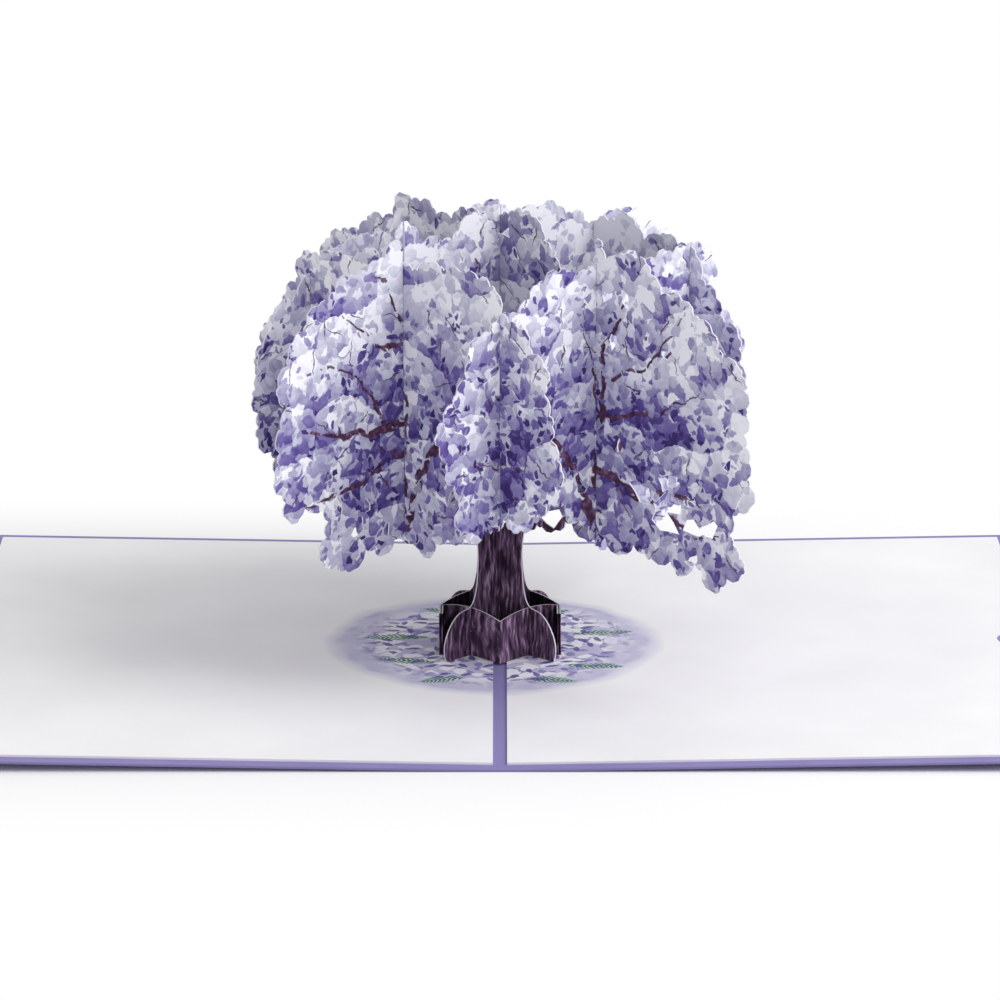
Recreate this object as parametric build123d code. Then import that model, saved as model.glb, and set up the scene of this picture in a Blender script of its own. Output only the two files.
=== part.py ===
from build123d import *
import math
import os

# Card lying open, spine along Y. Lengths in millimetres, angles in degrees.
cover_width = 127.0
cover_length = 178.0
cover_thickness = 0.5
cover_rise = 1.0
spine_width = 3.2
liner_thickness = 0.5
liner_border = 3.5
thumb_notch_radius = 8.0

# Paper of the tree and the way its sheets cross
sheet_thickness = 0.35
slot_clearance = 0.1
seat_clearance = 0.05
cut_overrun = 5.0
sheet_turn = 45.0
crossing_pitch = 31.0
slot_level = 62.0

# Trunk and crown of the two sheets that cross on the spine
trunk_height = 31.0
root_reach = 18.4
crown_reach = 77.5
crown_height = 98.0

# Crown of the four outer sheets
side_crown_reach = 48.8
side_crown_height = 98.0

# Blossom edge: small round lobes of uneven width and bulge, on swells of two lengths
lobe_facets = 3
lobe_width = 3.4
lobe_width_spread_share = 0.5
lobe_width_step = 137.5
lobe_bulge_share = 0.34
lobe_bulge_spread_share = 0.13
lobe_bulge_step = 97.0
lobe_inset = 0.8
lobe_parting = 35.0
short_swell_length = 11.0
short_swell_depth = 1.0
long_swell_length = 27.0
long_swell_depth = 0.9

# Ring of four panels round the roots
ring_half_diagonal = 13.5
ring_fold_height = 10.3
ring_arch_height = 11.7
ring_slot_level = 6.0
ring_flap_length = 7.0

# Half of the trunk's outline from the foot up, as shares of root_reach and trunk_height
trunk_side_shares = (
    (0.96, 0.0),
    (1.0, 0.09),
    (0.88, 0.28),
    (0.7, 0.36),
    (0.53, 0.385),
    (0.44, 0.48),
    (0.4, 0.64),
    (0.4, 0.84),
    (0.45, 1.0),
)

# Crowns from the trunk's right side round to its left side, as shares of reach and height
trunk_a_crown_shares = (
    (0.12, 0.305),
    (0.24, 0.335),
    (0.36, 0.3),
    (0.47, 0.29),
    (0.58, 0.32),
    (0.69, 0.3),
    (0.78, 0.35),
    (0.87, 0.44),
    (0.92, 0.53),
    (0.925, 0.63),
    (0.89, 0.74),
    (0.83, 0.83),
    (0.77, 0.91),
    (0.68, 0.96),
    (0.55, 1.01),
    (0.42, 1.0),
    (0.3, 1.045),
    (0.17, 1.06),
    (0.06, 1.06),
    (0.0, 1.01),
    (-0.06, 1.07),
    (-0.13, 1.07),
    (-0.21, 1.05),
    (-0.29, 1.04),
    (-0.35, 1.075),
    (-0.42, 1.075),
    (-0.46, 1.03),
    (-0.54, 1.02),
    (-0.62, 1.0),
    (-0.69, 0.965),
    (-0.75, 0.93),
    (-0.82, 0.905),
    (-0.87, 0.85),
    (-0.895, 0.78),
    (-0.88, 0.7),
    (-0.92, 0.65),
    (-0.92, 0.57),
    (-0.89, 0.5),
    (-0.83, 0.445),
    (-0.76, 0.46),
    (-0.72, 0.43),
    (-0.75, 0.38),
    (-0.71, 0.33),
    (-0.62, 0.29),
    (-0.56, 0.31),
    (-0.5, 0.305),
    (-0.42, 0.34),
    (-0.33, 0.31),
    (-0.22, 0.3),
    (-0.13, 0.31),
)
trunk_b_crown_shares = (
    (0.13, 0.305),
    (0.2, 0.315),
    (0.26, 0.345),
    (0.32, 0.35),
    (0.37, 0.33),
    (0.43, 0.32),
    (0.49, 0.305),
    (0.54, 0.325),
    (0.62, 0.335),
    (0.7, 0.315),
    (0.74, 0.29),
    (0.79, 0.32),
    (0.84, 0.295),
    (0.92, 0.31),
    (0.98, 0.34),
    (1.01, 0.39),
    (0.96, 0.42),
    (0.93, 0.44),
    (0.97, 0.48),
    (1.02, 0.53),
    (1.035, 0.58),
    (1.01, 0.65),
    (1.01, 0.69),
    (0.985, 0.73),
    (1.0, 0.78),
    (0.96, 0.84),
    (0.88, 0.885),
    (0.8, 0.93),
    (0.72, 0.96),
    (0.66, 0.985),
    (0.59, 1.03),
    (0.53, 1.04),
    (0.46, 1.0),
    (0.43, 1.06),
    (0.37, 1.05),
    (0.33, 0.95),
    (0.28, 0.93),
    (0.25, 0.98),
    (0.19, 1.04),
    (0.12, 1.085),
    (0.05, 1.07),
    (0.0, 1.01),
    (-0.05, 1.05),
    (-0.12, 1.06),
    (-0.21, 1.03),
    (-0.3, 1.06),
    (-0.42, 1.06),
    (-0.48, 1.0),
    (-0.58, 0.995),
    (-0.64, 0.95),
    (-0.72, 0.93),
    (-0.77, 0.88),
    (-0.84, 0.82),
    (-0.89, 0.74),
    (-0.915, 0.64),
    (-0.9, 0.53),
    (-0.84, 0.44),
    (-0.76, 0.36),
    (-0.66, 0.31),
    (-0.55, 0.29),
    (-0.44, 0.31),
    (-0.33, 0.29),
    (-0.22, 0.31),
    (-0.13, 0.305),
)

# Crowns of the outer sheets, the nearer end on the right, round from the middle of the lower edge
side_a_crown_shares = (
    (0.0, 0.33),
    (0.1, 0.375),
    (0.21, 0.385),
    (0.25, 0.435),
    (0.35, 0.44),
    (0.42, 0.41),
    (0.56, 0.41),
    (0.7, 0.43),
    (0.8, 0.4),
    (0.88, 0.44),
    (0.93, 0.52),
    (0.98, 0.57),
    (1.02, 0.65),
    (0.98, 0.74),
    (0.9, 0.79),
    (0.83, 0.87),
    (0.72, 0.9),
    (0.6, 0.935),
    (0.48, 0.955),
    (0.38, 0.985),
    (0.26, 0.995),
    (0.16, 0.98),
    (0.08, 1.005),
    (-0.05, 0.99),
    (-0.19, 1.0),
    (-0.33, 0.98),
    (-0.49, 1.0),
    (-0.67, 0.985),
    (-0.76, 0.96),
    (-0.82, 0.9),
    (-0.86, 0.83),
    (-0.94, 0.79),
    (-0.99, 0.73),
    (-1.02, 0.62),
    (-0.97, 0.53),
    (-0.88, 0.46),
    (-0.74, 0.4),
    (-0.56, 0.37),
    (-0.38, 0.33),
    (-0.2, 0.31),
)
side_b_crown_shares = (
    (0.0, 0.345),
    (0.08, 0.325),
    (0.16, 0.31),
    (0.25, 0.345),
    (0.36, 0.35),
    (0.44, 0.37),
    (0.5, 0.405),
    (0.6, 0.42),
    (0.72, 0.455),
    (0.8, 0.445),
    (0.87, 0.455),
    (0.92, 0.49),
    (0.98, 0.53),
    (1.01, 0.58),
    (1.0, 0.66),
    (0.97, 0.74),
    (0.92, 0.82),
    (0.83, 0.875),
    (0.74, 0.92),
    (0.64, 0.97),
    (0.58, 0.995),
    (0.48, 1.01),
    (0.38, 1.0),
    (0.28, 1.02),
    (0.16, 1.02),
    (0.06, 1.005),
    (-0.05, 0.98),
    (-0.2, 1.01),
    (-0.4, 0.99),
    (-0.58, 0.98),
    (-0.72, 0.93),
    (-0.82, 0.86),
    (-0.9, 0.79),
    (-1.0, 0.72),
    (-1.02, 0.62),
    (-0.96, 0.53),
    (-0.86, 0.45),
    (-0.72, 0.39),
    (-0.54, 0.36),
    (-0.36, 0.33),
    (-0.18, 0.31),
)

# Ragged gaps between blossoms: place as shares of reach and height, length as a share of reach, lean
hole_corners = 8
hole_width_share = 0.58
hole_spread_share = 0.26
hole_step = 137.5
hole_parting = 61.0
trunk_a_hole_shares = (
    (-0.59, 0.393, 0.07, 60.0),
    (-0.555, 0.44, 0.045, 100.0),
    (-0.475, 0.37, 0.04, 80.0),
    (-0.71, 0.53, 0.04, 20.0),
    (-0.67, 0.46, 0.055, 115.0),
    (-0.325, 0.43, 0.05, 50.0),
    (0.31, 0.42, 0.05, 60.0),
    (0.55, 0.4, 0.06, 120.0),
    (0.7, 0.55, 0.05, 100.0),
)
trunk_b_hole_shares = (
    (0.22, 0.358, 0.095, 15.0),
    (0.7, 0.517, 0.09, 20.0),
    (0.594, 0.478, 0.1, 160.0),
    (0.694, 0.465, 0.11, 8.0),
    (0.68, 0.423, 0.11, 155.0),
    (0.794, 0.424, 0.08, 170.0),
    (0.86, 0.43, 0.075, 30.0),
    (0.928, 0.592, 0.04, 60.0),
    (0.444, 0.925, 0.045, 30.0),
    (0.52, 0.923, 0.045, 100.0),
    (0.47, 0.822, 0.05, 80.0),
    (0.8, 0.35, 0.04, 20.0),
    (0.685, 0.82, 0.045, 10.0),
    (0.5, 0.575, 0.042, 95.0),
    (-0.34, 0.42, 0.05, 60.0),
    (-0.56, 0.4, 0.06, 130.0),
    (-0.66, 0.58, 0.045, 80.0),
)
side_a_hole_shares = (
    (0.1, 0.47, 0.085, 50.0),
    (0.32, 0.53, 0.09, 80.0),
    (-0.3, 0.48, 0.08, 60.0),
    (-0.78, 0.52, 0.08, 120.0),
)
side_b_hole_shares = (
    (0.1, 0.47, 0.085, 50.0),
    (0.32, 0.46, 0.09, 80.0),
    (0.17, 0.395, 0.1, 100.0),
    (-0.3, 0.48, 0.08, 60.0),
    (-0.78, 0.52, 0.08, 120.0),
)

crossing_offset = crossing_pitch * math.sin(math.radians(sheet_turn))
slot_width = sheet_thickness + 2 * slot_clearance
liner_length = cover_length - 2 * liner_border
ring_lap = sheet_thickness / math.sin(math.radians(sheet_turn)) + slot_clearance
ring_back_half_diagonal = ring_half_diagonal + ring_lap

rise = math.radians(cover_rise)
fold_x = spine_width / 2
cover_fold_x = fold_x - cover_thickness * math.tan(rise / 2)
liner_level = cover_thickness + liner_thickness


def card_level(x, above_cover):
    """Height at x of the surface that lies above_cover over a raised cover."""
    run = max(abs(x) - cover_fold_x, 0)
    return cover_thickness + run * math.tan(rise) + above_cover / math.cos(rise)


def card_cut(above_cover):
    """Solid below that surface, to trim what stands on it."""
    half = cover_width
    corners = [
        (-half, -cut_overrun),
        (half, -cut_overrun),
        (half, card_level(half, above_cover)),
        (cover_fold_x, card_level(0, above_cover)),
        (-cover_fold_x, card_level(0, above_cover)),
        (-half, card_level(half, above_cover)),
    ]
    profile = Plane.XZ * make_face(Polyline(*corners, close=True))
    return extrude(profile, amount=cover_length / 2, both=True)


def outer_cover():
    """Folded cover: a flat spine strip with a cover rising on each side."""
    run = cover_width * math.cos(rise)
    climb = cover_width * math.sin(rise)
    lean = cover_thickness * math.sin(rise)
    depth = cover_thickness * math.cos(rise)
    right = [
        (fold_x, 0),
        (fold_x + run, climb),
        (fold_x + run - lean, climb + depth),
        (cover_fold_x, cover_thickness),
    ]
    left = [(-x, z) for x, z in reversed(right)]
    profile = Plane.XZ * make_face(Polyline(*right, *left, close=True))
    return extrude(profile, amount=cover_length / 2, both=True)


def liner(has_notch):
    """Right-hand liner on its cover, slit for the ring's flap."""
    surface = Plane(
        origin=(cover_fold_x, 0, cover_thickness),
        x_dir=(math.cos(rise), 0, math.sin(rise)),
        z_dir=(-math.sin(rise), 0, math.cos(rise)),
    )
    width = cover_width - liner_border
    sheet = Pos(width / 2, 0) * Rectangle(width, liner_length)
    slit_width = ring_lap + sheet_thickness + 2 * slot_clearance
    slit_x = ring_half_diagonal + ring_lap / 2 - cover_fold_x
    slit_length = ring_flap_length + sheet_thickness + 2 * slot_clearance
    sheet -= Pos(slit_x, -ring_flap_length / 2) * Rectangle(slit_width, slit_length)
    if has_notch:
        sheet -= Pos(width, 0) * Circle(thumb_notch_radius)
    return extrude(surface * sheet, amount=liner_thickness)


def lobe_corners(start, end, bulge_share):
    """Corners of a facetted lobe that swells to the right, from its start and without its end."""
    chord = end - start
    crest = (start + end) / 2 + Vector(chord.Y, -chord.X) * bulge_share
    arc = ThreePointArc(start, crest, end)
    return [arc @ (facet / lobe_facets) for facet in range(lobe_facets)]


def uneven(number, step, phase):
    """Number from -1 to 1 that differs from one lobe to the next."""
    return math.sin(math.radians(number * step + phase))


def left_turn(before, after):
    """Angle by which one direction turns left to reach the next."""
    return before.get_signed_angle(after, Vector(0, 0, 1))


def lobe_cusps(guide, phase):
    """Places where one lobe meets the next along a guide, with the swells added, but for its two ends."""
    length = guide.length
    count = round(length / lobe_width)
    widths = [1 + lobe_width_spread_share * uneven(lobe, lobe_width_step, phase) for lobe in range(count)]
    short_turn = 360 * round(length / short_swell_length)
    long_turn = 360 * round(length / long_swell_length)
    cusps = [guide @ 0]
    for lobe in range(1, count):
        share = sum(widths[:lobe]) / sum(widths)
        along = guide % share
        push = short_swell_depth * uneven(share, short_turn, phase) - lobe_inset
        push += long_swell_depth * uneven(share, long_turn, 2 * phase)
        cusps.append(guide @ share + Vector(along.Y, -along.X) * push)
    return [*cusps, guide @ 1]


def blossom_corners(points, closed, phase):
    """Corners round a lobed crown, anticlockwise; lobes in a hollow bulge less, so that they stay apart."""
    cusps = lobe_cusps(Spline(*points, periodic=closed), phase)
    chords = [end - start for start, end in zip(cusps, cusps[1:])]
    turns = [left_turn(before, after) for before, after in zip(chords, chords[1:])]
    end_turn = left_turn(chords[-1], chords[0]) if closed else 0
    turns = [end_turn, *turns, end_turn]
    corners = []
    for lobe in range(len(chords)):
        hollow = max(-turns[lobe], -turns[lobe + 1], 0)
        most_lean = max(180 - hollow - lobe_parting, lobe_parting) / 2
        bulge_share = lobe_bulge_share + lobe_bulge_spread_share * uneven(lobe, lobe_bulge_step, phase)
        bulge_share = min(bulge_share, math.tan(math.radians(most_lean / 2)) / 2)
        corners += lobe_corners(cusps[lobe], cusps[lobe + 1], bulge_share)
    return corners


def scaled(shares, reach, height):
    """Table of shares turned into places on a sheet."""
    return [(across * reach, up * height) for across, up in shares]


def ragged_holes(table, reach, height):
    """Gaps of a sheet: long ovals whose corners stand unevenly far out, as petals leave them."""
    holes = Sketch()
    for number, (across, up, length_share, lean) in enumerate(table):
        half_length = length_share * reach / 2
        corners = []
        for corner in range(hole_corners):
            angle = math.tau * corner / hole_corners
            out = half_length * (1 + hole_spread_share * uneven(corner, hole_step, number * hole_parting))
            corners.append((out * math.cos(angle), out * hole_width_share * math.sin(angle)))
        gap = make_face(Polyline(*corners, close=True))
        holes += Pos(across * reach, up * height) * Rot(Z=lean) * gap
    return holes


def slot(across, bottom, top):
    """Upright slot of a sheet, centred on a crossing."""
    return Pos(across, (bottom + top) / 2) * Rectangle(slot_width, top - bottom)


def crossing_slots(turn):
    """Slots for the three sheets that cross a sheet: open at the top if it turns left, else at the bottom."""
    slots = Sketch()
    for across in (-crossing_pitch, 0, crossing_pitch):
        if turn > 0:
            slots += slot(across, slot_level - slot_clearance, 2 * crown_height)
        else:
            slots += slot(across, -cut_overrun, slot_level + slot_clearance)
    return slots


def upright_plane(start, end, level):
    """Upright plane with its origin over the first of two plan points and its X axis toward the second."""
    length = math.dist(start, end)
    along = ((end[0] - start[0]) / length, (end[1] - start[1]) / length, 0)
    return Plane(origin=(*start, level), x_dir=along, z_dir=(along[1], -along[0], 0))


def sheet_plane(number, turn):
    """Upright plane of a sheet that is turned from X; number 0 crosses the spine's middle."""
    side = -1 if turn > 0 else 1
    middle = (side * number * crossing_offset, number * crossing_offset)
    ahead = (middle[0] + math.cos(math.radians(turn)), middle[1] + math.sin(math.radians(turn)))
    return upright_plane(middle, ahead, liner_level)


def sheet_solid(face, plane):
    """Paper sheet of the tree from its flat face."""
    return extrude(plane * face, amount=sheet_thickness / 2, both=True)


def trunk_sheet(turn, crown_shares, hole_shares, phase):
    """Full sheet with roots, trunk and crown, slotted for the outer sheets and for the ring's two halves."""
    right_side = scaled(trunk_side_shares, root_reach, trunk_height)
    left_side = [(-across, up) for across, up in reversed(right_side)]
    crown = scaled(crown_shares, crown_reach, crown_height)
    corners = blossom_corners([right_side[-1], *crown, left_side[0]], False, phase)
    edges = [
        Spline(*right_side),
        *Polyline(*corners, left_side[0]).edges(),
        Spline(*left_side),
        Line(left_side[-1], right_side[0]),
    ]
    face = Face(Wire(edges)) - ragged_holes(hole_shares, crown_reach, crown_height)
    face -= crossing_slots(turn)
    front_side = -math.copysign(1, turn)
    for half_diagonal in (ring_half_diagonal, -ring_back_half_diagonal):
        across = front_side * half_diagonal * math.sin(math.radians(sheet_turn))
        face -= slot(across, -cut_overrun, ring_slot_level + slot_clearance)
    return sheet_solid(face, sheet_plane(0, turn)) - card_cut(liner_thickness + seat_clearance)


def foliage_sheet(number, turn, crown_shares, hole_shares, phase):
    """Outer sheet of blossom alone, held by the slots of the sheets that it crosses."""
    crown = scaled(crown_shares, side_crown_reach, side_crown_height)
    face = make_face(Polyline(*blossom_corners(crown, True, phase), close=True))
    face -= ragged_holes(hole_shares, side_crown_reach, side_crown_height)
    if turn > 0:
        face = mirror(face, about=Plane.YZ)
    return sheet_solid(face - crossing_slots(turn), sheet_plane(number, turn))


def upright_panel(start, end, end_height, middle_height):
    """Upright panel between two plan points, its top level or arched, its ends rounded as a fold is."""
    length = math.dist(start, end)
    top = [(length, end_height), (0, end_height)]
    if middle_height > end_height:
        top_edge = ThreePointArc(top[0], (length / 2, middle_height), top[1])
    else:
        top_edge = Line(*top)
    sides = Polyline(top[1], (0, 0), (length, 0), top[0])
    panel = sheet_solid(Face(Wire([*sides.edges(), top_edge])), upright_plane(start, end, 0))
    for point in (start, end):
        panel += Pos(*point, end_height / 2) * Cylinder(sheet_thickness / 2, end_height)
    return panel


def ring_strip(front):
    """Half of the root ring: two arched panels folded at the spine, with a flap at each far end."""
    half = ring_half_diagonal if front else ring_back_half_diagonal
    fold_y = -half if front else half
    fold_height = liner_level + ring_fold_height
    arch_height = liner_level + ring_arch_height
    strip = None
    flaps = None
    for side in (-1, 1):
        panel = upright_panel((0, fold_y), (side * half, 0), fold_height, arch_height)
        flap_end = (side * half, -ring_flap_length)
        flap = upright_panel((side * half, 0), flap_end, fold_height, fold_height)
        strip = panel if strip is None else strip + panel
        flaps = flap if flaps is None else flaps + flap
    strip -= card_cut(liner_thickness + seat_clearance)
    for side in (-1, 1):
        panel_plane = upright_plane((side * half / 2, fold_y / 2), (side * half, 0), liner_level)
        opening = slot(0, ring_slot_level - slot_clearance, ring_arch_height + cut_overrun)
        strip -= extrude(panel_plane * opening, amount=cut_overrun / 2, both=True)
    flaps -= card_cut(seat_clearance)
    return strip + flaps


nodes = {
    "outer_cover": outer_cover(),
    "right_liner": liner(True),
    "left_liner": mirror(liner(False), about=Plane.YZ),
    "root_ring_front": ring_strip(True),
    "root_ring_back": ring_strip(False),
    "trunk_sheet_a": trunk_sheet(sheet_turn, trunk_a_crown_shares, trunk_a_hole_shares, 20),
    "trunk_sheet_b": trunk_sheet(-sheet_turn, trunk_b_crown_shares, trunk_b_hole_shares, 110),
    "foliage_sheet_a_front": foliage_sheet(-1, sheet_turn, side_a_crown_shares, side_a_hole_shares, 40),
    "foliage_sheet_a_back": foliage_sheet(1, sheet_turn, side_a_crown_shares, side_a_hole_shares, 130),
    "foliage_sheet_b_front": foliage_sheet(-1, -sheet_turn, side_b_crown_shares, side_b_hole_shares, 180),
    "foliage_sheet_b_back": foliage_sheet(1, -sheet_turn, side_b_crown_shares, side_b_hole_shares, 260),
}

os.makedirs("parts", exist_ok=True)
for name, solid in nodes.items():
    export_step(solid, f"parts/{name}.step")
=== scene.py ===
"""Dresses the open pop-up card: the tree's printed sheets, its root ring, liners and cover."""

import logging
import math
from collections.abc import Iterator
from dataclasses import dataclass
from enum import Enum
from functools import reduce
from typing import ClassVar

import bmesh
import bpy
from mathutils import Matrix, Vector

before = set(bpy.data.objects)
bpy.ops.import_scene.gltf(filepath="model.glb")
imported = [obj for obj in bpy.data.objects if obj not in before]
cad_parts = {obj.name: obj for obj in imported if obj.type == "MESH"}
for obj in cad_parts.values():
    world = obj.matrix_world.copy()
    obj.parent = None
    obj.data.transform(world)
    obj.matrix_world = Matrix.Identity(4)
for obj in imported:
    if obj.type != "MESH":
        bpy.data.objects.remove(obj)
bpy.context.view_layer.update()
MILLIMETRE = 0.001
LINER_TOP = 1.0  # height of the liners above the table at the spine, in millimetres

log = logging.getLogger("pop_up_card")

Colour = tuple[float, float, float, float]
Stops = tuple[tuple[float, Colour], ...]
Stroke = tuple[tuple[float, float, float], ...]  # places across and up, with half widths
Span = tuple[float, float]  # where a ramp is 0 and 1, or a wobble's grain and amount

WHITE: Colour = (1.0, 1.0, 1.0, 1.0)


def paint(red: int, green: int, blue: int) -> Colour:
    """Turns a screen colour into the linear colour that shaders use.

    Args:
        red: Red from 0 to 255.
        green: Green from 0 to 255.
        blue: Blue from 0 to 255.

    Returns:
        The linear colour with full alpha.
    """
    channels = [level / 255 for level in (red, green, blue)]
    linear = [c / 12.92 if c <= 0.04045 else ((c + 0.055) / 1.055) ** 2.4 for c in channels]
    return (linear[0], linear[1], linear[2], 1.0)


class Turn(Enum):
    """Which way an upright sheet stands from the card's width: the sign of its slope in plan."""

    RISING = 1
    FALLING = -1


class Value:
    """A node's output; on numbers, Python operators add Math nodes."""

    def __init__(self, shade: "Shading", socket: bpy.types.NodeSocket) -> None:
        """Keeps the socket and the tree that it belongs to."""
        self.shade = shade
        self.socket = socket

    def math(self, operation: str, *others: "Value | float") -> "Value":
        """Adds a Math node with this value first.

        Args:
            operation: The Math node's operation.
            others: Its other inputs.

        Returns:
            The node's result.
        """
        sockets = dict(enumerate((self, *others)))
        return self.shade.node("ShaderNodeMath", {"operation": operation}, sockets)

    def reflected(self, operation: str, first: "Value | float") -> "Value":
        """Adds a Math node with this value second.

        Args:
            operation: The Math node's operation.
            first: Its first input.

        Returns:
            The node's result.
        """
        return self.shade.node("ShaderNodeMath", {"operation": operation}, {0: first, 1: self})

    def __add__(self, other: "Value | float") -> "Value":
        """Sum."""
        return self.math("ADD", other)

    def __radd__(self, other: "Value | float") -> "Value":
        """Sum with the number first."""
        return self.reflected("ADD", other)

    def __sub__(self, other: "Value | float") -> "Value":
        """Difference."""
        return self.math("SUBTRACT", other)

    def __rsub__(self, other: "Value | float") -> "Value":
        """Difference with the number first."""
        return self.reflected("SUBTRACT", other)

    def __mul__(self, other: "Value | float") -> "Value":
        """Product."""
        return self.math("MULTIPLY", other)

    def __rmul__(self, other: "Value | float") -> "Value":
        """Product with the number first."""
        return self.reflected("MULTIPLY", other)

    def __truediv__(self, other: "Value | float") -> "Value":
        """Quotient."""
        return self.math("DIVIDE", other)

    def __rtruediv__(self, other: "Value | float") -> "Value":
        """Quotient with the number first."""
        return self.reflected("DIVIDE", other)

    def __abs__(self) -> "Value":
        """Size without its sign."""
        return self.math("ABSOLUTE")

    def least(self, other: "Value | float") -> "Value":
        """The smaller of two values."""
        return self.math("MINIMUM", other)

    def most(self, other: "Value | float") -> "Value":
        """The larger of two values."""
        return self.math("MAXIMUM", other)

    def over(self, other: "Value | float") -> "Value":
        """1 where this value is greater, else 0."""
        return self.math("GREATER_THAN", other)

    def ramp(self, low: float, high: float) -> "Value":
        """Rises evenly from 0 at low to 1 at high, and stays there.

        Args:
            low: The value that gives 0.
            high: The value that gives 1, which may be the smaller one.

        Returns:
            A number from 0 to 1.
        """
        sockets = {"Value": self, "From Min": low, "From Max": high}
        return self.shade.node("ShaderNodeMapRange", {"clamp": True}, sockets)

    def centred(self) -> "Value":
        """This value less a half, so that a number from 0 to 1 lies about 0."""
        return self - 0.5


class Shading:
    """Builds the nodes of a material or of the world."""

    WOBBLE_DETAIL: ClassVar[float] = 2.0
    WOBBLE_GAIN: ClassVar[float] = 4.0
    BUMP_STRENGTH: ClassVar[float] = 0.6
    PAPER_SPECULAR: ClassVar[float] = 0.25

    def __init__(self, owner: bpy.types.Material | bpy.types.World) -> None:
        """Empties the tree of a new material or world."""
        self.owner = owner
        owner.use_nodes = True
        self.tree = owner.node_tree
        self.tree.nodes.clear()

    @classmethod
    def of_material(cls, name: str) -> "Shading":
        """The nodes of a new material under a name."""
        return cls(bpy.data.materials.new(name))

    def node(
        self,
        kind: str,
        settings: dict[str, object] | None = None,
        sockets: dict[str | int, object] | None = None,
        outlet: str | int = 0,
    ) -> Value:
        """Adds any node.

        Args:
            kind: The node's type.
            settings: Its settings, set first; "stops" fills a colour ramp.
            sockets: Values or links of its inputs.
            outlet: The output to give back.

        Returns:
            That output.
        """
        node = self.tree.nodes.new(kind)
        for name, setting in (settings or {}).items():
            if name == "stops":
                self.fill_ramp(node.color_ramp, setting)
            else:
                setattr(node, name, setting)
        for name, value in (sockets or {}).items():
            if isinstance(value, Value):
                self.tree.links.new(value.socket, node.inputs[name])
            else:
                node.inputs[name].default_value = value
        return Value(self, node.outputs[outlet])

    @staticmethod
    def fill_ramp(ramp: bpy.types.ColorRamp, stops: Stops) -> None:
        """Gives a colour ramp its stops.

        Args:
            ramp: The ramp to fill.
            stops: Places from 0 to 1 with their colours.
        """
        while len(ramp.elements) < len(stops):
            ramp.elements.new(1.0)
        for element, (place, colour) in zip(ramp.elements, stops):
            element.position = place
            element.color = colour

    def other(self, value: Value, outlet: str | int) -> Value:
        """Another output of the node that a value comes from."""
        return Value(self, value.socket.node.outputs[outlet])

    def split(self, vector: Value) -> tuple[Value, Value, Value]:
        """The three numbers of a vector."""
        first = self.node("ShaderNodeSeparateXYZ", None, {0: vector})
        return first, self.other(first, 1), self.other(first, 2)

    def join(self, x: Value | float, y: Value | float, z: Value | float) -> Value:
        """A vector from three numbers."""
        return self.node("ShaderNodeCombineXYZ", None, {0: x, 1: y, 2: z})

    def vector(self, operation: str, *inputs: object, outlet: str = "Vector") -> Value:
        """Adds a Vector Math node.

        Args:
            operation: Its operation.
            inputs: Its vectors.
            outlet: The output to give back.

        Returns:
            That output.
        """
        sockets = dict(enumerate(inputs))
        return self.node("ShaderNodeVectorMath", {"operation": operation}, sockets, outlet)

    def scaled(self, vector: object, scale: float | Value) -> Value:
        """A vector times a number."""
        sockets = {0: vector, "Scale": scale}
        return self.node("ShaderNodeVectorMath", {"operation": "SCALE"}, sockets)

    def dot(self, first: object, second: object) -> Value:
        """The dot product of two vectors."""
        return self.vector("DOT_PRODUCT", first, second, outlet="Value")

    def length(self, vector: Value) -> Value:
        """The length of a vector."""
        return self.vector("LENGTH", vector, outlet="Value")

    def turned(self, vector: Value, angle: Value | float) -> Value:
        """A vector turned about the third axis by an angle in radians."""
        sockets = {"Vector": vector, "Angle": angle}
        return self.node("ShaderNodeVectorRotate", {"rotation_type": "Z_AXIS"}, sockets)

    def mix(self, factor: Value | float, first: object, second: object) -> Value:
        """Mixes two colours.

        Args:
            factor: How much of the second.
            first: Colour or link.
            second: Colour or link.

        Returns:
            The mixed colour.
        """
        # A Mix node's colours are its sockets 6 and 7, and their mix is its output 2.
        sockets = {0: factor, 6: first, 7: second}
        return self.node("ShaderNodeMix", {"data_type": "RGBA"}, sockets, 2)

    def tint(self, value: Value, stops: Stops) -> Value:
        """Colour ramp over a number."""
        return self.node("ShaderNodeValToRGB", {"stops": stops}, {0: value})

    def noise(self, place: Value, grain: float, detail: float = 3.0, outlet: int = 0) -> Value:
        """Noise whose lumps are about grain across; outlet 1 is its colour."""
        sockets = {"Vector": place, "Scale": 1 / grain, "Detail": detail}
        return self.node("ShaderNodeTexNoise", None, sockets, outlet)

    def cells(self, place: Value, size: float, seed: float = 0.0) -> tuple[Value, Value]:
        """Cells strewn over a plane.

        Args:
            place: The places.
            size: About how wide a cell is.
            seed: Picks another pattern of cells.

        Returns:
            Each place seen from its cell's middle, and three numbers from 0 to 1 for each cell.
        """
        moved = self.vector("ADD", place, (seed, 2 * seed, 0.0))
        settings = {"voronoi_dimensions": "2D"}
        sockets = {"Vector": moved, "Scale": 1 / size}
        middle = self.node("ShaderNodeTexVoronoi", settings, sockets, "Position")
        return self.vector("SUBTRACT", moved, middle), self.other(middle, "Color")

    def wobbled(self, place: Value, grain: float, amount: float) -> Value:
        """Moves places about by noise.

        Args:
            place: The places.
            grain: How long the wobble is.
            amount: How far it moves them.

        Returns:
            The moved places.
        """
        push = self.noise(place, grain, self.WOBBLE_DETAIL, 1)
        shift = self.vector("SUBTRACT", push, (0.5, 0.5, 0.5))
        return self.vector("ADD", place, self.scaled(shift, self.WOBBLE_GAIN * amount))

    def millimetres(self) -> tuple[Value, Value, Value]:
        """The place on the object in millimetres, its height from the liner."""
        place = self.node("ShaderNodeTexCoord", outlet="Object")
        x, y, z = self.split(self.scaled(place, 1 / MILLIMETRE))
        return x, y, z - LINER_TOP

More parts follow.
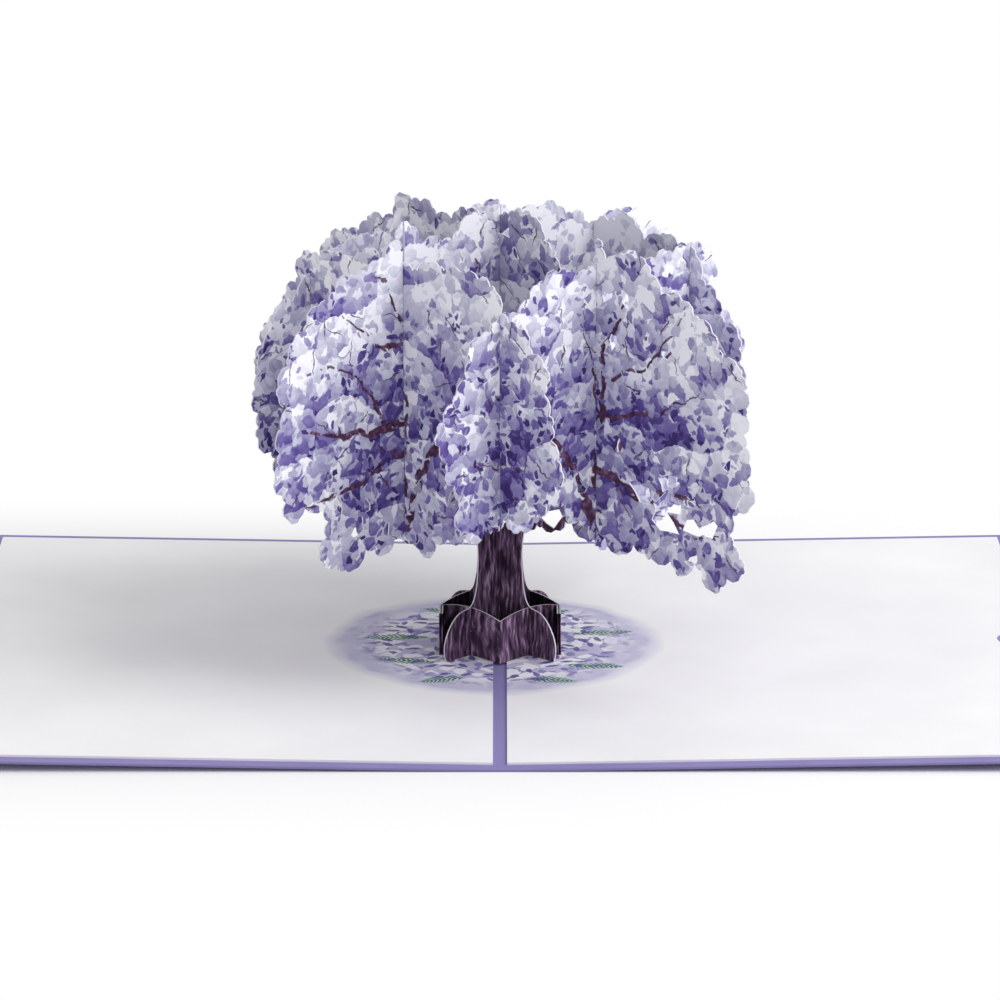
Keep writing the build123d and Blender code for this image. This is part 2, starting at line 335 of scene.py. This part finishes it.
    def facing(self, direction: tuple[float, float, float]) -> Value:
        """How squarely the surface faces a direction or its opposite, from 0 to 1."""
        normal = self.node("ShaderNodeNewGeometry", outlet="Normal")
        return abs(self.dot(normal, direction))

    def background_rays(self) -> Value:
        """1 for what the camera, gloss or glass sees, else 0."""
        camera_ray = self.node("ShaderNodeLightPath", outlet="Is Camera Ray")
        direct = camera_ray.most(self.other(camera_ray, "Is Glossy Ray"))
        return direct.most(self.other(camera_ray, "Is Transmission Ray"))

    def finish(
        self, colour: object, roughness: Value | float, height: Value, bump: float
    ) -> bpy.types.Material:
        """Ends the material in a paper-like shader.

        Args:
            colour: Its colour or colour link.
            roughness: Its roughness.
            height: What the bump follows.
            bump: The bump's depth in millimetres.

        Returns:
            The material.
        """
        sockets = {"Height": height, "Strength": self.BUMP_STRENGTH, "Distance": bump * MILLIMETRE}
        normal = self.node("ShaderNodeBump", None, sockets)
        sockets = {
            "Base Color": colour,
            "Roughness": roughness,
            "Normal": normal,
            "Specular IOR Level": self.PAPER_SPECULAR,
        }
        self.end(self.node("ShaderNodeBsdfPrincipled", None, sockets))
        return self.owner

    def end(self, surface: Value, kind: str = "ShaderNodeOutputMaterial") -> None:
        """Ends the tree in an output node of a kind."""
        output = self.tree.nodes.new(kind)
        self.tree.links.new(surface.socket, output.inputs["Surface"])


@dataclass(frozen=True)
class PaperStock:
    """Bare card: its tooth, its dull gloss and the colour of its cut edge."""

    edge_colour: Colour = paint(226, 222, 232)
    fibre_grain: float = 0.35
    fibre_detail: float = 4.0
    tooth: float = 0.02
    roughness: float = 0.62
    roughness_spread: float = 0.15

    def fibres(self, shade: Shading, place: Value) -> Value:
        """Fine fibre noise at a place."""
        return shade.noise(place, self.fibre_grain, self.fibre_detail)

    def finish(self, shade: Shading, colour: Value, fibres: Value) -> bpy.types.Material:
        """Ends a material as printed paper.

        Args:
            shade: The material's nodes.
            colour: The colour on the paper.
            fibres: The fibre noise that its roughness and tooth follow.

        Returns:
            The material.
        """
        roughness = self.roughness + fibres * self.roughness_spread
        return shade.finish(colour, roughness, fibres, self.tooth)


@dataclass(frozen=True)
class BarkPaint:
    """Bark in plum and near black, streaked along the grain."""

    streak_width: float = 0.75
    streak_length: float = 6.0
    streak_detail: float = 6.0
    noise_depth: float = 3.0
    bend: Span = (7.0, 0.6)
    stops: Stops = (
        (0.34, paint(20, 10, 20)),
        (0.44, paint(66, 44, 68)),
        (0.56, paint(112, 86, 116)),
        (0.68, paint(186, 154, 188)),
    )

    def colour(self, shade: Shading, across: Value, up: Value) -> Value:
        """Streaks that run up the trunk.

        Args:
            shade: The material's nodes.
            across: Millimetres across the grain.
            up: Millimetres along it.

        Returns:
            The bark's colour.
        """
        place = shade.wobbled(shade.join(across, up, self.noise_depth), *self.bend)
        place = shade.vector("DIVIDE", place, (self.streak_width, self.streak_length, 1.0))
        return shade.tint(shade.noise(place, 1.0, self.streak_detail), self.stops)


@dataclass(frozen=True)
class LeafLayer:
    """One layer of leaf-shaped dabs, at most one to a cell, each turned its own way."""

    cell: float
    length: float
    width: float
    seed: float

    OUTLINE: ClassVar[Span] = (1.05, 0.85)

    def dabs(self, shade: Shading, place: Value) -> tuple[Value, Value, Value]:
        """Where the dabs lie.

        Args:
            shade: The material's nodes.
            place: Places in millimetres.

        Returns:
            Cover from 0 to 1, and two numbers from 0 to 1 that differ from dab to dab.
        """
        local, own = shade.cells(place, self.cell, self.seed)
        lean, chance, tone = shade.split(own)
        along, over, _ = shade.split(shade.turned(local, lean * math.tau))
        reach = along / self.length
        return (abs(over) / self.width + reach * reach).ramp(*self.OUTLINE), chance, tone


@dataclass(frozen=True)
class CrownLayer(LeafLayer):
    """Blossom dabs: the share of cells with one, and the spread and drop of their tones."""

    share: float
    spread: float
    drop: float = 0.0

    SHADE_GAIN: ClassVar[float] = 0.2
    SHARE_EDGE: ClassVar[float] = 0.02

    def laid_on(
        self, shade: Shading, place: Value, tone: Value, base: Value, depth: Value
    ) -> Value:
        """Lays the dabs on the crown.

        Args:
            shade: The material's nodes.
            place: Wobbled places on the sheet.
            tone: The tone so far.
            base: The crown's own tone.
            depth: How deep in the crown's shade a place is, from 0 to 1.

        Returns:
            The tone with the dabs.
        """
        cover, chance, hue = self.dabs(shade, place)
        chance = chance - depth * self.SHADE_GAIN
        shown = cover * chance.ramp(self.share, self.share - self.SHARE_EDGE)
        own = base - self.drop + hue.centred() * self.spread
        return tone + (own - tone) * shown


@dataclass(frozen=True)
class StrewnLayer(LeafLayer):
    """Twigs or petals of one colour, and the share of cells that have none."""

    empty_share: float
    colour: Colour
    strength: float = 1.0

    def printed_on(
        self, shade: Shading, place: Value, below: Value, within: Value | float = 1.0
    ) -> Value:
        """Prints the dabs over a colour.

        Args:
            shade: The material's nodes.
            place: Places in millimetres.
            below: The colour so far.
            within: Where they may lie, from 0 to 1.

        Returns:
            The colour with the dabs.
        """
        cover, chance, _ = self.dabs(shade, place)
        shown = cover * within * chance.over(self.empty_share) * self.strength
        return shade.mix(shown, below, self.colour)


@dataclass(frozen=True)
class BlossomPrint:
    """Print of a tree sheet: ragged patches and dabs of blossom over limbs, with bare cut edges.

    Tones go from 0, deep violet, to 1, white. Lengths are in millimetres.
    """

    turn: Turn
    limbs: tuple[Stroke, ...]
    seed: float
    pale_tone: float = 0.77
    deep_tone: float = 0.49
    # painted shade: how much the sheet's front half is darkened
    near_painted_shade: float = 0.0
    near_side: Span = (-10.0, 30.0)
    shade_centre: tuple[float, float] = (28.0, 52.0)
    shade_reach: tuple[float, float] = (40.0, 32.0)
    shade_edge: Span = (1.5, 0.0)
    rim_rise: Span = (62.0, 104.0)
    rim_lift: float = 0.12
    clump_size: float = 10.0
    clump_rise: float = 0.36
    clump_spread: float = 0.3
    patch_size: float = 5.4
    patch_seed: float = 11.0
    patch_wobble: Span = (2.4, 0.8)
    patch_spread: float = 0.55
    blot_size: float = 1.6
    blot_spread: float = 0.35
    dab_layers: tuple[CrownLayer, ...] = (
        CrownLayer(3.7, 2.7, 1.6, 47.0, share=0.62, spread=0.85),
        CrownLayer(2.9, 1.9, 0.95, 83.0, share=0.4, spread=0.75, drop=0.08),
        CrownLayer(1.9, 1.15, 0.55, 29.0, share=0.24, spread=0.5, drop=0.28),
    )
    twigs: StrewnLayer = StrewnLayer(7.5, 3.4, 0.2, 61.0, 0.62, paint(86, 50, 78), 0.9)
    coarse_wobble: Span = (6.0, 0.7)
    fine_wobble: Span = (1.8, 0.5)
    crown_start: Span = (28.0, 40.0)
    limb_bend: Span = (9.0, 1.5)
    limb_knots: Span = (3.0, 0.25)
    limb_edge: Span = (0.12, -0.1)
    limb_slimming: float = 0.15
    limb_grain: float = 1.6
    veil_size: float = 3.4
    veil_detail: float = 2.0
    veil_rise: Span = (34.0, 100.0)
    veil_lift: float = 0.06
    veil_edge: Span = (0.61, 0.585)
    unveiled: Span = (36.0, 32.0)
    bark_end: Span = (31.0, 37.0)
    bark: BarkPaint = BarkPaint()
    stock: PaperStock = PaperStock()
    cut_edge: Span = (0.6, 0.4)
    tone_stops: Stops = (
        (0.0, paint(58, 42, 104)),
        (0.16, paint(88, 72, 144)),
        (0.34, paint(124, 113, 172)),
        (0.52, paint(166, 163, 196)),
        (0.7, paint(198, 198, 218)),
        (0.86, paint(222, 222, 236)),
        (1.0, paint(246, 246, 253)),
    )
    limb_stops: Stops = (
        (0.35, paint(56, 31, 51)),
        (0.55, paint(94, 58, 86)),
        (0.75, paint(136, 102, 132)),
    )

    def limb_gaps(self, shade: Shading, place: Value) -> Iterator[Value]:
        """Distances outside each straight run of the limbs, below zero within it.

        Args:
            shade: The material's nodes.
            place: Places across and up the sheet.

        Yields:
            The distance from one run.
        """
        for stroke in self.limbs:
            for start, end in zip(stroke, stroke[1:]):
                run = Vector((end[0] - start[0], end[1] - start[1], 0.0))
                from_start = shade.vector("SUBTRACT", place, (start[0], start[1], 0.0))
                share = shade.dot(from_start, tuple(run / run.length_squared)).ramp(0.0, 1.0)
                off = shade.vector("SUBTRACT", from_start, shade.scaled(tuple(run), share))
                yield shade.length(off) - (share * (end[2] - start[2]) + start[2])

    def clump(self, shade: Shading, place: Value) -> Value:
        """Tone of round clumps, each pale at its top and deep below.

        Args:
            shade: The material's nodes.
            place: Wobbled places on the sheet.

        Returns:
            A number about 0.
        """
        local, own = shade.cells(place, self.clump_size)
        chance, _, _ = shade.split(own)
        _, rise, _ = shade.split(local)
        return rise / self.clump_size * self.clump_rise + chance.centred() * self.clump_spread

    def blossom(self, shade: Shading, place: Value, across: Value, up: Value) -> Value:
        """Patches and dabs of blossom, deeper in the crown's lower middle and paler at its rim.

        Args:
            shade: The material's nodes.
            place: Wobbled places on the sheet.
            across: Millimetres across the sheet.
            up: Millimetres above the liner.

        Returns:
            The blossom's colour.
        """
        side = (abs(across) - self.shade_centre[0]) / self.shade_reach[0]
        rise = (up - self.shade_centre[1]) / self.shade_reach[1]
        depth = (side * side + rise * rise).ramp(*self.shade_edge)
        # painted shade: the front half of the sheet is made darker
        near = (across * -self.turn.value).ramp(*self.near_side)
        pale = self.pale_tone - near * self.near_painted_shade
        base = pale - (pale - self.deep_tone) * depth
        base = base + up.ramp(*self.rim_rise) * self.rim_lift + self.clump(shade, place)
        blot = shade.noise(place, self.blot_size).centred()
        ragged = shade.wobbled(place, *self.patch_wobble)
        _, patch = shade.cells(ragged, self.patch_size, self.patch_seed)
        _, _, hue = shade.split(patch)
        tone = base + hue.centred() * self.patch_spread
        for layer in self.dab_layers:
            tone = layer.laid_on(shade, place, tone, base, depth)
        colour = shade.tint(tone + blot * self.blot_spread, self.tone_stops)
        return self.twigs.printed_on(shade, place, colour)

    def wood(self, shade: Shading, place: Value, across: Value, up: Value) -> tuple[Value, Value]:
        """Trunk and limbs.

        Args:
            shade: The material's nodes.
            place: Wobbled places on the sheet.
            across: Millimetres across the sheet.
            up: Millimetres above the liner.

        Returns:
            Where they show, from 0 to 1, and their colour.
        """
        crown = up.ramp(*self.crown_start)
        plain = shade.join(across, up, self.seed)
        bent = shade.wobbled(shade.wobbled(plain, *self.limb_bend), *self.limb_knots)
        bend = shade.scaled(shade.vector("SUBTRACT", bent, plain), crown)
        limb_place = shade.vector("MULTIPLY", shade.vector("ADD", plain, bend), (1.0, 1.0, 0.0))
        gap = reduce(Value.least, self.limb_gaps(shade, limb_place))
        veil = shade.noise(place, self.veil_size, self.veil_detail)
        veil = veil + up.ramp(*self.veil_rise) * self.veil_lift
        bare = veil.ramp(*self.veil_edge).most(up.ramp(*self.unveiled))
        shown = (gap + crown * self.limb_slimming).ramp(*self.limb_edge) * bare
        limb = shade.tint(shade.noise(plain, self.limb_grain), self.limb_stops)
        return shown, shade.mix(up.ramp(*self.bark_end), self.bark.colour(shade, across, up), limb)

    def material(self, name: str) -> bpy.types.Material:
        """Builds the sheet's material.

        Args:
            name: The material's name.

        Returns:
            The material.
        """
        shade = Shading.of_material(name)
        x, y, up = shade.millimetres()
        slope = self.turn.value
        across = (x + y * slope) * math.sqrt(0.5)
        flat = shade.join(across + self.seed, up, 0.0)
        place = shade.wobbled(shade.wobbled(flat, *self.coarse_wobble), *self.fine_wobble)
        blossom = self.blossom(shade, place, across, up)
        shown, wood = self.wood(shade, place, across, up)
        colour = shade.mix(shown, blossom, wood)
        edge = shade.facing((math.sqrt(0.5), -slope * math.sqrt(0.5), 0.0)).ramp(*self.cut_edge)
        colour = shade.mix(edge, colour, self.stock.edge_colour)
        return self.stock.finish(shade, colour, self.stock.fibres(shade, flat))


@dataclass(frozen=True)
class RingPrint:
    """Root ring: bark outside, the inside darkened to near black as painted shade, bare cut edges.
    """

    stock: PaperStock = PaperStock(roughness=0.6)
    bark: BarkPaint = BarkPaint()
    bark_slant: float = 0.37
    # painted shade: the near black that the ring's inside faces are darkened toward
    inside_shade_colour: Colour = paint(20, 12, 20)
    inside_shade_strength: float = 0.8
    cut_edge: Span = (0.4, 0.6)

    def material(self, name: str) -> bpy.types.Material:
        """Builds the ring's material under a name."""
        shade = Shading.of_material(name)
        x, y, up = shade.millimetres()
        bark = self.bark.colour(shade, x + y * self.bark_slant, up)
        normal = shade.node("ShaderNodeNewGeometry", outlet="Normal")
        outward = shade.dot(normal, shade.join(x, y, 0.0))
        # painted shade on the faces that look into the ring
        inner = shade.mix(self.inside_shade_strength, bark, self.inside_shade_colour)
        colour = shade.mix(outward.over(0.0), inner, bark)
        edge = shade.facing((0.0, 0.0, 1.0)).ramp(*self.cut_edge)
        colour = shade.mix(edge, colour, self.stock.edge_colour)
        return self.stock.finish(shade, colour, self.stock.fibres(shade, shade.join(x, y, up)))


@dataclass(frozen=True)
class CoverStock:
    """Lavender card of the cover, with painted shade darkening its front and back cut edges."""

    stops: Stops = (
        (0.3, paint(134, 125, 177)),
        (0.7, paint(147, 138, 189)),
    )
    mottle_grain: float = 14.0
    fibre_share: float = 0.4
    # painted shade: the colour that the cover's front and back cut edges are darkened toward
    edge_colour: Colour = paint(122, 113, 160)
    painted_edge_shade: float = 0.7
    stock: PaperStock = PaperStock(roughness=0.6, roughness_spread=0.2)

    def material(self, name: str) -> bpy.types.Material:
        """Builds the cover's material under a name."""
        shade = Shading.of_material(name)
        place = shade.join(*shade.millimetres())
        fibres = self.stock.fibres(shade, place)
        mottle = shade.noise(place, self.mottle_grain) * (1 - self.fibre_share)
        colour = shade.tint(mottle + fibres * self.fibre_share, self.stops)
        # painted shade on the faces that look to the front and back
        edge = shade.facing((0.0, 1.0, 0.0)) * self.painted_edge_shade
        return self.stock.finish(shade, shade.mix(edge, colour, self.edge_colour), fibres)


@dataclass(frozen=True)
class Sprig:
    """Small printed fern by its foot, length and lean, in millimetres and degrees."""

    x: float
    y: float
    length: float
    lean: float
    half_width: float = 2.3
    leaflet_pitch: float = 1.15
    leaflet_slant: float = 0.8
    leaflet_edge: Span = (0.36, 0.26)
    stem_edge: Span = (0.25, 0.12)
    outline_edge: Span = (0.0, 0.25)

    def cover(self, shade: Shading, place: Value) -> Value:
        """Where the fern's stem and leaflets lie.

        Args:
            shade: The material's nodes.
            place: Places on the liner.

        Returns:
            Cover from 0 to 1.
        """
        local = shade.vector("SUBTRACT", place, (self.x, self.y, 0.0))
        along, over, _ = shade.split(shade.turned(local, -math.radians(self.lean)))
        off = abs(over)
        share = along / self.length
        within = (share * (1 - share) * 4 * self.half_width - off).ramp(*self.outline_edge)
        leaflets = (along - off * self.leaflet_slant) / self.leaflet_pitch
        comb = abs(leaflets - leaflets.math("ROUND")).ramp(*self.leaflet_edge)
        return within * comb.most(off.ramp(*self.stem_edge))


@dataclass(frozen=True)
class LinerPrint:
    """White liner, with fallen petals and ferns in a lavender round below the tree."""

    stock: PaperStock = PaperStock()
    coarse_wobble: Span = (6.0, 0.5)
    fine_wobble: Span = (1.2, 0.14)
    paper_grain: float = 45.0
    paper_detail: float = 4.0
    paper_stops: Stops = (
        (0.3, paint(240, 239, 241)),
        (0.7, paint(249, 248, 249)),
    )
    mottle_grain: float = 7.0
    wash_colour: Colour = paint(186, 183, 216)
    wash_centre: tuple[float, float, float] = (-1.5, 2.0, 0.0)
    wash_radius: float = 36.5
    wash_edge: Span = (3.5, -2.0)
    wash_wobble: Span = (16.0, 1.2)
    wash_strength: float = 0.45
    wash_mottle: float = 0.6
    rim_colour: Colour = paint(160, 154, 204)
    rim_inset: float = 1.0
    rim_edge: Span = (1.4, 0.3)
    rim_mottle: Span = (0.4, 0.7)
    rim_strength: float = 0.5
    petal_radius: float = 33.0
    petal_edge: Span = (5.0, -3.0)
    petal_scatter: float = 8.0
    petals: tuple[StrewnLayer, ...] = (
        StrewnLayer(3.0, 2.2, 1.1, 71.0, 0.25, paint(196, 192, 226)),
        StrewnLayer(2.7, 1.9, 1.0, 53.0, 0.45, paint(148, 140, 196)),
        StrewnLayer(3.4, 2.9, 1.6, 17.0, 0.3, paint(244, 243, 250)),
    )
    top_petals: StrewnLayer = StrewnLayer(3.3, 2.1, 0.8, 37.0, 0.5, paint(88, 74, 152), 0.9)
    fern_stops: Stops = (
        (0.3, paint(34, 96, 62)),
        (0.7, paint(92, 150, 104)),
    )
    ferns: tuple[Sprig, ...] = (
        Sprig(-14.0, -13.0, 15.0, 172.0),
        Sprig(-17.0, 7.0, 16.0, 186.0),
        Sprig(-8.0, -24.0, 12.0, 200.0),
        Sprig(15.0, -15.0, 14.0, -8.0),
        Sprig(17.0, 9.0, 15.0, 6.0),
        Sprig(6.0, -25.0, 12.0, -12.0),
        Sprig(4.0, 24.0, 14.0, 20.0),
        Sprig(-6.0, 26.0, 13.0, 165.0),
    )

    def round_wash(self, shade: Shading, paper: Value, radius: Value, mottle: Value) -> Value:
        """The lavender round with its deeper rim.

        Args:
            shade: The material's nodes.
            paper: The paper's colour.
            radius: Millimetres from the round's centre.
            mottle: Soft noise from 0 to 1.

        Returns:
            The paper with the round on it.
        """
        outer, inner = self.wash_edge
        wash = radius.ramp(self.wash_radius + outer, self.wash_radius + inner)
        wash = wash * (self.wash_strength + mottle * self.wash_mottle)
        rim = abs(radius - (self.wash_radius - self.rim_inset)).ramp(*self.rim_edge)
        rim = rim * mottle.ramp(*self.rim_mottle) * self.rim_strength
        colour = shade.mix(wash, paper, self.wash_colour)
        return shade.mix(rim, colour, self.rim_colour)

    def material(self, name: str) -> bpy.types.Material:
        """Builds the liners' material under a name."""
        shade = Shading.of_material(name)
        x, y, _ = shade.millimetres()
        flat = shade.join(x, y, 0.0)
        place = shade.wobbled(shade.wobbled(flat, *self.coarse_wobble), *self.fine_wobble)
        paper = shade.tint(shade.noise(flat, self.paper_grain, self.paper_detail), self.paper_stops)
        round_place = shade.wobbled(flat, *self.wash_wobble)
        radius = shade.length(shade.vector("SUBTRACT", round_place, self.wash_centre))
        mottle = shade.noise(place, self.mottle_grain)
        colour = self.round_wash(shade, paper, radius, mottle)
        outer, inner = self.petal_edge
        scattered = radius + mottle * self.petal_scatter
        within = scattered.ramp(self.petal_radius + outer, self.petal_radius + inner)
        for layer in self.petals:
            colour = layer.printed_on(shade, place, colour, within)
        fern_colour = shade.tint(mottle, self.fern_stops)
        for fern in self.ferns:
            colour = shade.mix(fern.cover(shade, place), colour, fern_colour)
        colour = self.top_petals.printed_on(shade, place, colour, within)
        return self.stock.finish(shade, colour, self.stock.fibres(shade, flat))


@dataclass
class CardBody:
    """Cover and liners."""

    cover_node: str = "outer_cover"
    liner_nodes: tuple[str, ...] = ("left_liner", "right_liner")

    def dress(self) -> None:
        """Gives the cover and the liners their materials."""
        wear(self.cover_node, CoverStock().material("lavender_card"))
        print_material = LinerPrint().material("liner_print")
        for node in self.liner_nodes:
            wear(node, print_material)


@dataclass
class RootRing:
    """The folded ring round the roots."""

    nodes: tuple[str, ...] = ("root_ring_front", "root_ring_back")

    def dress(self) -> None:
        """Gives both halves the bark print."""
        material = RingPrint().material("ring_print")
        for node in self.nodes:
            wear(node, material)


@dataclass
class PaperTree:
    """The six interlocked sheets. Their limbs are strokes in millimetres, centred on the trunk."""

    # painted shade on the front halves of the trunk sheets
    trunk_near_painted_shade: float = 0.08
    # painted shade: a lower pale tone that makes the two front foliage sheets greyer
    front_pale_tone_with_painted_shade: float = 0.73
    trunk: Stroke = ((0, -6, 24), (0, 5, 19), (0, 10, 15.5), (0, 13, 11), (0, 18, 8.8), (0, 33, 8))
    limbs_a: tuple[Stroke, ...] = (
        (
            (0, 31, 6), (-9, 44, 2.6), (-22, 55, 1.6),
            (-37, 61, 1.1), (-50, 60, 0.8), (-62, 64, 0.35),
        ),
        ((-22, 55, 1.2), (-38, 52, 0.9), (-52, 47, 0.6), (-62, 46, 0.3)),
        ((-9, 44, 1.8), (-17, 63, 1.2), (-30, 77, 0.8), (-36, 92, 0.4)),
        ((-30, 77, 0.7), (-42, 82, 0.5), (-50, 90, 0.3)),
        ((-37, 61, 0.9), (-45, 73, 0.6), (-57, 79, 0.3)),
        ((0, 33, 4), (3, 56, 1.6), (-3, 76, 1), (-8, 96, 0.4)),
        ((-3, 76, 0.8), (7, 88, 0.5), (9, 97, 0.3)),
        ((3, 50, 1.7), (18, 62, 1.2), (36, 72, 0.8), (52, 84, 0.4)),
        ((18, 62, 0.9), (24, 78, 0.7), (33, 91, 0.3)),
        ((6, 36, 2.2), (22, 46, 1.4), (42, 52, 0.9), (60, 60, 0.4)),
    )
    limbs_b: tuple[Stroke, ...] = (
        ((4, 30.5, 3.2), (12, 31.5, 2), (22, 34, 1.6), (31, 42, 1.2)),
        ((30, 51, 1.4), (42, 46.5, 1.1), (51, 44, 0.8), (59, 40.5, 0.6), (69, 41, 0.4)),
        ((45, 45.5, 0.8), (52, 48.5, 0.8), (59, 48.5, 0.6)),
        ((0, 31, 6), (10, 43, 2.6), (24, 51, 1.6), (30, 53, 1.4)),
        ((24, 51, 1.4), (34, 63, 1.1), (33, 77, 0.8), (40, 90, 0.4)),
        ((34, 63, 0.9), (46, 65, 0.7), (60, 70, 0.3)),
        ((33, 70, 0.7), (48, 78, 0.5), (58, 89, 0.3)),
        ((0, 33, 4), (-4, 60, 1.5), (-12, 84, 0.7)),
        ((4, 40, 2), (12, 58, 1.2), (11, 76, 0.8), (19, 92, 0.4)),
        ((-4, 46, 1.9), (-22, 58, 1.2), (-44, 66, 0.8), (-58, 74, 0.4)),
    )
    side_limbs: tuple[Stroke, ...] = (
        ((0, 36, 1.5), (-8, 52, 1.1), (-20, 66, 0.8), (-32, 72, 0.3)),
        ((-8, 52, 0.8), (-24, 53, 0.6), (-38, 58, 0.25)),
        ((0, 36, 1.4), (8, 54, 1.1), (20, 70, 0.8), (26, 84, 0.3)),
        ((8, 54, 0.9), (24, 58, 0.7), (38, 56, 0.3)),
        ((20, 70, 0.6), (33, 76, 0.25)),
        ((0, 44, 1.2), (1, 66, 0.8), (-6, 84, 0.3)),
    )

    def dress(self) -> None:
        """Gives each sheet its own print."""
        limbs_a = (self.trunk, *self.limbs_a)
        limbs_b = (self.trunk, *self.limbs_b)
        side = self.side_limbs
        near = self.trunk_near_painted_shade
        # the front foliage sheets take the greyer pale tone as painted shade
        pale = self.front_pale_tone_with_painted_shade
        prints = {
            "trunk_sheet_a": BlossomPrint(Turn.RISING, limbs_a, 0.0, near_painted_shade=near),
            "trunk_sheet_b": BlossomPrint(Turn.FALLING, limbs_b, 140.0, near_painted_shade=near),
            "foliage_sheet_a_front": BlossomPrint(Turn.RISING, side, 290.0, pale_tone=pale),
            "foliage_sheet_a_back": BlossomPrint(Turn.RISING, side, 430.0),
            "foliage_sheet_b_front": BlossomPrint(Turn.FALLING, side, 570.0, pale_tone=pale),
            "foliage_sheet_b_back": BlossomPrint(Turn.FALLING, side, 710.0),
        }
        for node, finish in prints.items():
            wear(node, finish.material(f"{node}_print"))


def wear(node: str, material: bpy.types.Material) -> None:
    """Puts a material on every slot of a CAD node.

    Args:
        node: The node's name.
        material: The material.
    """
    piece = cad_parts[node]
    for slot in piece.material_slots:
        slot.material = material
    log.info("%s wears %s", node, material.name)


@dataclass
class Studio:
    """Floor, backdrop light, key light and camera, in metres but for the floor's paper."""

    floor_size: float = 6.0
    floor_colour: Colour = paint(252, 252, 253)
    floor_grain: float = 2.0
    floor_roughness: float = 0.8
    floor_roughness_spread: float = 0.1
    card_half_size: tuple[float, float] = (128.0, 89.0)  # the floor is shaded round it, millimetres
    shadow_reach: float = 42.0
    sky_level: float = 0.66
    key_place: tuple[float, float, float] = (0.95, -0.38, 0.95)
    key_size: float = 0.9
    key_level: float = 0.58
    lens: float = 185.46
    elevation: float = 15.742
    aim: tuple[float, float, float] = (0.0, 0.0, 0.0369)
    distance: float = 1.20494

    def floor(self) -> None:
        """Lays the pale floor."""
        mesh = bpy.data.meshes.new("studio_floor")
        build = bmesh.new()
        bmesh.ops.create_grid(build, x_segments=1, y_segments=1, size=self.floor_size / 2)
        build.to_mesh(mesh)
        build.free()
        floor = bpy.data.objects.new("studio_floor", mesh)
        bpy.context.scene.collection.objects.link(floor)
        mesh.materials.append(self.floor_material())

    def floor_material(self) -> bpy.types.Material:
        """White paper that takes the card's shadow and is seen as pure white farther off."""
        shade = Shading.of_material("floor_paper")
        x, y, up = shade.millimetres()
        fibres = shade.noise(shade.join(x, y, up), self.floor_grain)
        roughness = self.floor_roughness + fibres * self.floor_roughness_spread
        sockets = {"Base Color": self.floor_colour, "Roughness": roughness}
        paper = shade.node("ShaderNodeBsdfPrincipled", None, sockets)
        white = shade.node("ShaderNodeEmission", None, {"Color": WHITE, "Strength": 1.0})
        beside = (abs(x) - self.card_half_size[0]).most(abs(y) - self.card_half_size[1])
        factor = beside.ramp(0.0, self.shadow_reach) * shade.background_rays()
        shade.end(shade.node("ShaderNodeMixShader", None, {0: factor, 1: paper, 2: white}))
        return shade.owner

    def sky(self) -> None:
        """Lights the scene evenly, with white for the camera and in gloss and glass."""
        world = bpy.data.worlds.new("studio_sky")
        bpy.context.scene.world = world
        shade = Shading(world)
        sockets = {"Value": shade.background_rays(), "To Min": self.sky_level, "To Max": 1.0}
        level = shade.node("ShaderNodeMapRange", None, sockets)
        background = shade.node("ShaderNodeBackground", None, {"Color": WHITE, "Strength": level})
        shade.end(background, "ShaderNodeOutputWorld")

    def key(self) -> None:
        """Hangs the large soft lamp to the right."""
        lamp = bpy.data.lights.new("key_lamp", "AREA")
        place = Vector(self.key_place)
        lamp.size = self.key_size
        lamp.energy = self.key_level * math.pi ** 2 * place.length_squared
        key = bpy.data.objects.new("key_lamp", lamp)
        key.location = place
        key.rotation_euler = (-place).to_track_quat("-Z", "Y").to_euler()
        bpy.context.scene.collection.objects.link(key)

    def camera(self) -> None:
        """Sets up the camera at the viewing angle of the picture."""
        lens = bpy.data.cameras.new("camera")
        lens.lens = self.lens
        camera = bpy.data.objects.new("camera", lens)
        lean = math.radians(self.elevation)
        away = Vector((0.0, -math.cos(lean), math.sin(lean)))
        camera.location = Vector(self.aim) + away * self.distance
        camera.rotation_euler = (math.pi / 2 - lean, 0.0, 0.0)
        bpy.context.scene.collection.objects.link(camera)
        bpy.context.scene.camera = camera

    def build(self) -> None:
        """Builds the whole studio."""
        self.floor()
        self.sky()
        self.key()
        self.camera()
        bpy.context.scene.view_settings.view_transform = "Standard"
        log.info("studio ready")


def main() -> None:
    """Dresses the card, then builds the studio round it."""
    logging.basicConfig(level=logging.INFO)
    CardBody().dress()
    RootRing().dress()
    PaperTree().dress()
    Studio().build()


if __name__ == "__main__":
    main()
